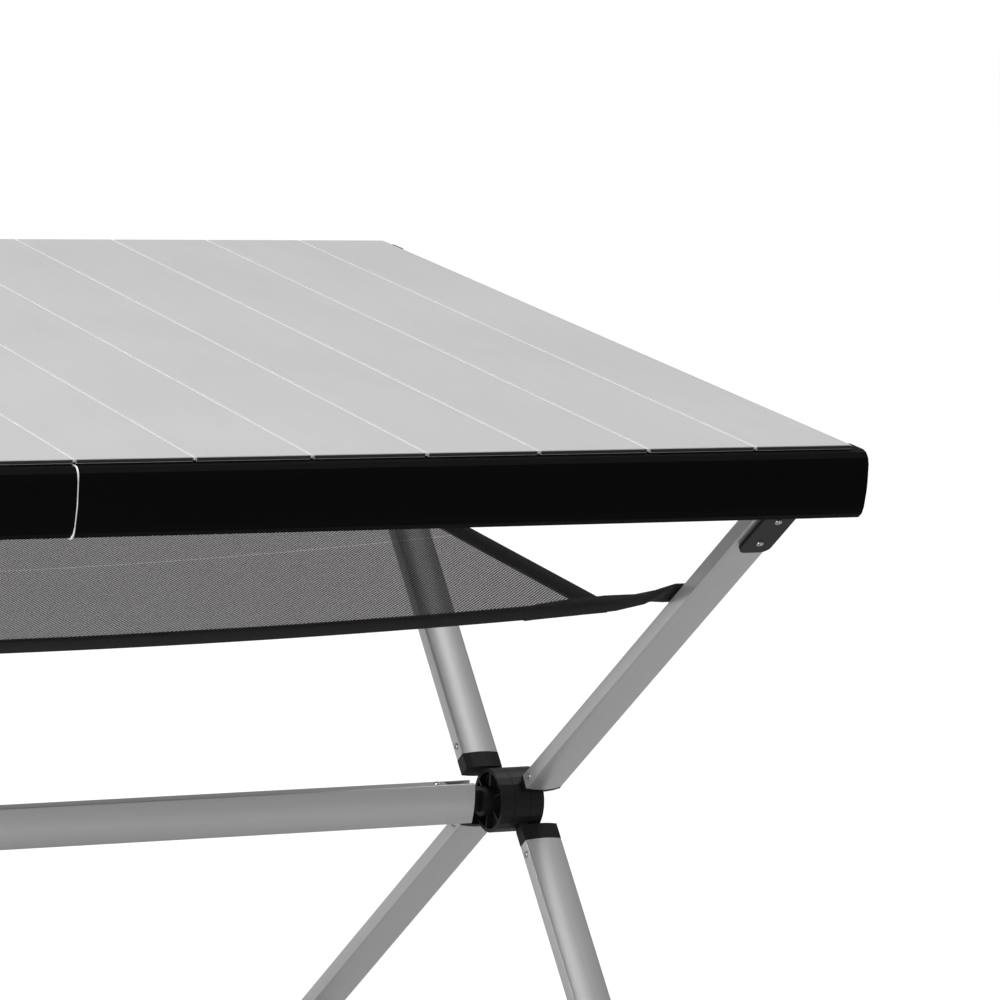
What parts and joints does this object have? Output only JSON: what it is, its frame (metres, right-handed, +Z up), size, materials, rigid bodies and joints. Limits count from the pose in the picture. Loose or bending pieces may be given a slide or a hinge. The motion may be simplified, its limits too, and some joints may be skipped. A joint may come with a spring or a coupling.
{
  "type": "folding camp table",
  "caption": "Folding camp table with a roll-up slat top on hinged rails, crossed aluminium legs, a cross tube and a net shelf.",
  "frame": {"origin": "on the floor under the middle of the top, table set up", "axes": "+X along the table towards the end that the picture shows, +Y towards the back, +Z up"},
  "size_m": [1.219, 0.826, 0.705],
  "materials": {
    "slat_silver": "satin",
    "leg_aluminium": "brushed",
    "rail_black": "satin",
    "black_plastic": "matte",
    "pin_steel": "bright",
    "shelf_net": "matte",
    "shelf_binding": "matte",
    "foot_rubber": "matte"
  },
  "bodies": {
    "root": {"foot_front_left": "foot_rubber"},
    "leg_a_left": {"leg_a_upper_tube_left": "leg_aluminium", "leg_a_lower_tube_left": "leg_aluminium", "leg_a_head_left": "black_plastic", "hub_a_left": "black_plastic"},
    "leg_b_left": {"leg_b_upper_tube_left": "leg_aluminium", "leg_b_lower_tube_left": "leg_aluminium", "leg_b_head_left": "black_plastic", "hub_b_inner_left": "black_plastic", "hub_b_outer_left": "black_plastic"},
    "leg_a_right": {"leg_a_upper_tube_right": "leg_aluminium", "leg_a_lower_tube_right": "leg_aluminium", "leg_a_head_right": "black_plastic", "hub_a_right": "black_plastic"},
    "leg_b_right": {"leg_b_upper_tube_right": "leg_aluminium", "leg_b_lower_tube_right": "leg_aluminium", "leg_b_head_right": "black_plastic", "hub_b_inner_right": "black_plastic", "hub_b_outer_right": "black_plastic"},
    "yoke_left": {"yoke_left": "black_plastic", "hub_pin_left": "pin_steel"},
    "yoke_right": {"yoke_right": "black_plastic", "hub_pin_right": "pin_steel"},
    "cross_tube_left": {"cross_tube_left": "leg_aluminium", "yoke_pin_left": "pin_steel", "cross_tube_hinge_pin": "pin_steel"},
    "cross_tube_right": {"cross_tube_right": "leg_aluminium", "yoke_pin_right": "pin_steel"},
    "foot_back_left": {"foot_back_left": "foot_rubber"},
    "foot_front_right": {"foot_front_right": "foot_rubber"},
    "foot_back_right": {"foot_back_right": "foot_rubber"},
    "hanger_front_left": {"hanger_front_left": "black_plastic"},
    "hanger_front_right": {"hanger_front_right": "black_plastic"},
    "hanger_back_left": {"hanger_back_left": "black_plastic"},
    "hanger_back_right": {"hanger_back_right": "black_plastic"},
    "rail_front_left": {"rail_front_left": "rail_black", "rail_hinge_pin_front": "pin_steel"},
    "rail_front_right": {"rail_front_right": "rail_black"},
    "rail_back_left": {"rail_back_left": "rail_black", "rail_hinge_pin_back": "pin_steel"},
    "rail_back_right": {"rail_back_right": "rail_black"},
    "shelf_front": {"shelf_net_front": "shelf_net", "shelf_binding_front": "shelf_binding"},
    "shelf_back": {"shelf_net_back": "shelf_net", "shelf_binding_back": "shelf_binding"},
    "top": {"slat_07": "slat_silver"},
    "slat_01": {"slat_01": "slat_silver"},
    "slat_02": {"slat_02": "slat_silver"},
    "slat_03": {"slat_03": "slat_silver"},
    "slat_04": {"slat_04": "slat_silver"},
    "slat_05": {"slat_05": "slat_silver"},
    "slat_06": {"slat_06": "slat_silver"},
    "slat_08": {"slat_08": "slat_silver"},
    "slat_09": {"slat_09": "slat_silver"},
    "slat_10": {"slat_10": "slat_silver"},
    "slat_11": {"slat_11": "slat_silver"},
    "slat_12": {"slat_12": "slat_silver"},
    "slat_13": {"slat_13": "slat_silver"},
    "slat_14": {"slat_14": "slat_silver"}
  },
  "joints": [
    {"name": "foot_front_left_turn", "type": "hinge", "parent": "root", "child": "leg_a_left", "pos_m": [-0.5755, -0.32313, 0.0165], "axis": [1, 0, 0], "range_deg": [0, 31]},
    {"name": "frame_fold", "type": "hinge", "parent": "leg_a_left", "child": "yoke_left", "pos_m": [-0.559, 0, 0.321], "axis": [-1, 0, 0], "range_deg": [0, 31], "deforming": ["shelf_net_front", "shelf_net_back", "shelf_binding_front", "shelf_binding_back"]},
    {"name": "leg_b_left_turn", "type": "hinge", "parent": "yoke_left", "child": "leg_b_left", "pos_m": [-0.559, 0, 0.321], "axis": [1, 0, 0], "range_deg": [-31, 0]},
    {"name": "foot_back_left_turn", "type": "hinge", "parent": "leg_b_left", "child": "foot_back_left", "pos_m": [-0.5425, 0.32313, 0.0165], "axis": [1, 0, 0], "range_deg": [0, 31]},
    {"name": "hanger_front_left_turn", "type": "hinge", "parent": "leg_b_left", "child": "hanger_front_left", "pos_m": [-0.5755, -0.35974, 0.66], "axis": [1, 0, 0], "range_deg": [0, 31]},
    {"name": "hanger_back_left_turn", "type": "hinge", "parent": "leg_a_left", "child": "hanger_back_left", "pos_m": [-0.5425, 0.35974, 0.66], "axis": [1, 0, 0], "range_deg": [-31, 0]},
    {"name": "rail_front_left_turn", "type": "hinge", "parent": "hanger_front_left", "child": "rail_front_left", "pos_m": [-0.51, -0.3805, 0.6804], "axis": [0, 1, 0], "range_deg": [0, 80]},
    {"name": "rail_back_left_turn", "type": "hinge", "parent": "hanger_back_left", "child": "rail_back_left", "pos_m": [-0.51, 0.3805, 0.6804], "axis": [0, 1, 0], "range_deg": [0, 80]},
    {"name": "rail_front_middle", "type": "hinge", "parent": "rail_front_left", "child": "rail_front_right", "pos_m": [0, -0.3805, 0.7009], "axis": [0, 1, 0], "range_deg": [-160, 0]},
    {"name": "rail_back_middle", "type": "hinge", "parent": "rail_back_left", "child": "rail_back_right", "pos_m": [0, 0.3805, 0.7009], "axis": [0, 1, 0], "range_deg": [-160, 0]},
    {"name": "tube_left_turn", "type": "hinge", "parent": "yoke_left", "child": "cross_tube_left", "pos_m": [-0.51, 0, 0.321], "axis": [0, 1, 0], "range_deg": [-80, 0]},
    {"name": "tube_middle", "type": "hinge", "parent": "cross_tube_left", "child": "cross_tube_right", "pos_m": [0, 0, 0.3005], "axis": [0, 1, 0], "range_deg": [0, 160]},
    {"name": "tube_right_turn", "type": "hinge", "parent": "cross_tube_right", "child": "yoke_right", "pos_m": [0.51, 0, 0.321], "axis": [0, 1, 0], "range_deg": [-80, 0]},
    {"name": "leg_a_right_turn", "type": "hinge", "parent": "yoke_right", "child": "leg_a_right", "pos_m": [0.559, 0, 0.321], "axis": [1, 0, 0], "range_deg": [0, 31]},
    {"name": "leg_b_right_turn", "type": "hinge", "parent": "yoke_right", "child": "leg_b_right", "pos_m": [0.559, 0, 0.321], "axis": [1, 0, 0], "range_deg": [-31, 0]},
    {"name": "foot_front_right_turn", "type": "hinge", "parent": "leg_a_right", "child": "foot_front_right", "pos_m": [0.5755, -0.32313, 0.0165], "axis": [1, 0, 0], "range_deg": [-31, 0]},
    {"name": "foot_back_right_turn", "type": "hinge", "parent": "leg_b_right", "child": "foot_back_right", "pos_m": [0.5425, 0.32313, 0.0165], "axis": [1, 0, 0], "range_deg": [0, 31]},
    {"name": "hanger_front_right_turn", "type": "hinge", "parent": "leg_b_right", "child": "hanger_front_right", "pos_m": [0.5755, -0.35974, 0.66], "axis": [1, 0, 0], "range_deg": [0, 31]},
    {"name": "hanger_back_right_turn", "type": "hinge", "parent": "leg_a_right", "child": "hanger_back_right", "pos_m": [0.5425, 0.35974, 0.66], "axis": [1, 0, 0], "range_deg": [-31, 0]},
    {"name": "shelf_front_turn", "type": "hinge", "parent": "leg_b_left", "child": "shelf_front", "pos_m": [-0.5755, -0.23664, 0.544], "axis": [1, 0, 0], "range_deg": [-59, 0]},
    {"name": "shelf_back_turn", "type": "hinge", "parent": "leg_a_left", "child": "shelf_back", "pos_m": [-0.5425, 0.23664, 0.544], "axis": [1, 0, 0], "range_deg": [0, 59]},
    {"name": "top_lift", "type": "slide", "parent": "yoke_left", "child": "top", "axis": [0, 0, 1], "range_m": [0, 0.5]},
    {"name": "slat_08_roll", "type": "hinge", "parent": "top", "child": "slat_08", "pos_m": [0, 0, 0.705], "axis": [0, -1, 0], "range_deg": [0, 24]},
    {"name": "slat_09_roll", "type": "hinge", "parent": "slat_08", "child": "slat_09", "pos_m": [0.0866, 0, 0.705], "axis": [0, -1, 0], "range_deg": [0, 24]},
    {"name": "slat_10_roll", "type": "hinge", "parent": "slat_09", "child": "slat_10", "pos_m": [0.1732, 0, 0.705], "axis": [0, -1, 0], "range_deg": [0, 24]},
    {"name": "slat_11_roll", "type": "hinge", "parent": "slat_10", "child": "slat_11", "pos_m": [0.2598, 0, 0.705], "axis": [0, -1, 0], "range_deg": [0, 24]},
    {"name": "slat_12_roll", "type": "hinge", "parent": "slat_11", "child": "slat_12", "pos_m": [0.3464, 0, 0.705], "axis": [0, -1, 0], "range_deg": [0, 24]},
    {"name": "slat_13_roll", "type": "hinge", "parent": "slat_12", "child": "slat_13", "pos_m": [0.433, 0, 0.705], "axis": [0, -1, 0], "range_deg": [0, 24]},
    {"name": "slat_14_roll", "type": "hinge", "parent": "slat_13", "child": "slat_14", "pos_m": [0.5196, 0, 0.705], "axis": [0, -1, 0], "range_deg": [0, 24]},
    {"name": "slat_06_roll", "type": "hinge", "parent": "top", "child": "slat_06", "pos_m": [-0.0866, 0, 0.705], "axis": [0, 1, 0], "range_deg": [0, 24]},
    {"name": "slat_05_roll", "type": "hinge", "parent": "slat_06", "child": "slat_05", "pos_m": [-0.1732, 0, 0.705], "axis": [0, 1, 0], "range_deg": [0, 24]},
    {"name": "slat_04_roll", "type": "hinge", "parent": "slat_05", "child": "slat_04", "pos_m": [-0.2598, 0, 0.705], "axis": [0, 1, 0], "range_deg": [0, 24]},
    {"name": "slat_03_roll", "type": "hinge", "parent": "slat_04", "child": "slat_03", "pos_m": [-0.3464, 0, 0.705], "axis": [0, 1, 0], "range_deg": [0, 24]},
    {"name": "slat_02_roll", "type": "hinge", "parent": "slat_03", "child": "slat_02", "pos_m": [-0.433, 0, 0.705], "axis": [0, 1, 0], "range_deg": [0, 24]},
    {"name": "slat_01_roll", "type": "hinge", "parent": "slat_02", "child": "slat_01", "pos_m": [-0.5196, 0, 0.705], "axis": [0, 1, 0], "range_deg": [0, 24]}
  ],
  "couplings": [
    {"joint": "foot_front_left_turn", "follows": "frame_fold", "ratio": 1},
    {"joint": "leg_b_left_turn", "follows": "frame_fold", "ratio": -1},
    {"joint": "foot_back_left_turn", "follows": "frame_fold", "ratio": 1},
    {"joint": "hanger_front_left_turn", "follows": "frame_fold", "ratio": 1},
    {"joint": "hanger_back_left_turn", "follows": "frame_fold", "ratio": -1},
    {"joint": "rail_front_left_turn", "follows": "frame_fold", "ratio": 2.5806},
    {"joint": "rail_back_left_turn", "follows": "frame_fold", "ratio": 2.5806},
    {"joint": "rail_front_middle", "follows": "frame_fold", "ratio": -5.1613},
    {"joint": "rail_back_middle", "follows": "frame_fold", "ratio": -5.1613},
    {"joint": "tube_left_turn", "follows": "frame_fold", "ratio": -2.5806},
    {"joint": "tube_middle", "follows": "frame_fold", "ratio": 5.1613},
    {"joint": "tube_right_turn", "follows": "frame_fold", "ratio": -2.5806},
    {"joint": "leg_a_right_turn", "follows": "frame_fold", "ratio": 1},
    {"joint": "leg_b_right_turn", "follows": "frame_fold", "ratio": -1},
    {"joint": "foot_front_right_turn", "follows": "frame_fold", "ratio": -1},
    {"joint": "foot_back_right_turn", "follows": "frame_fold", "ratio": 1},
    {"joint": "hanger_front_right_turn", "follows": "frame_fold", "ratio": 1},
    {"joint": "hanger_back_right_turn", "follows": "frame_fold", "ratio": -1},
    {"joint": "shelf_front_turn", "follows": "frame_fold", "ratio": -1.9032},
    {"joint": "shelf_back_turn", "follows": "frame_fold", "ratio": 1.9032},
    {"joint": "top_lift", "follows": "frame_fold", "m_per_rad": 0.924}
  ]
}
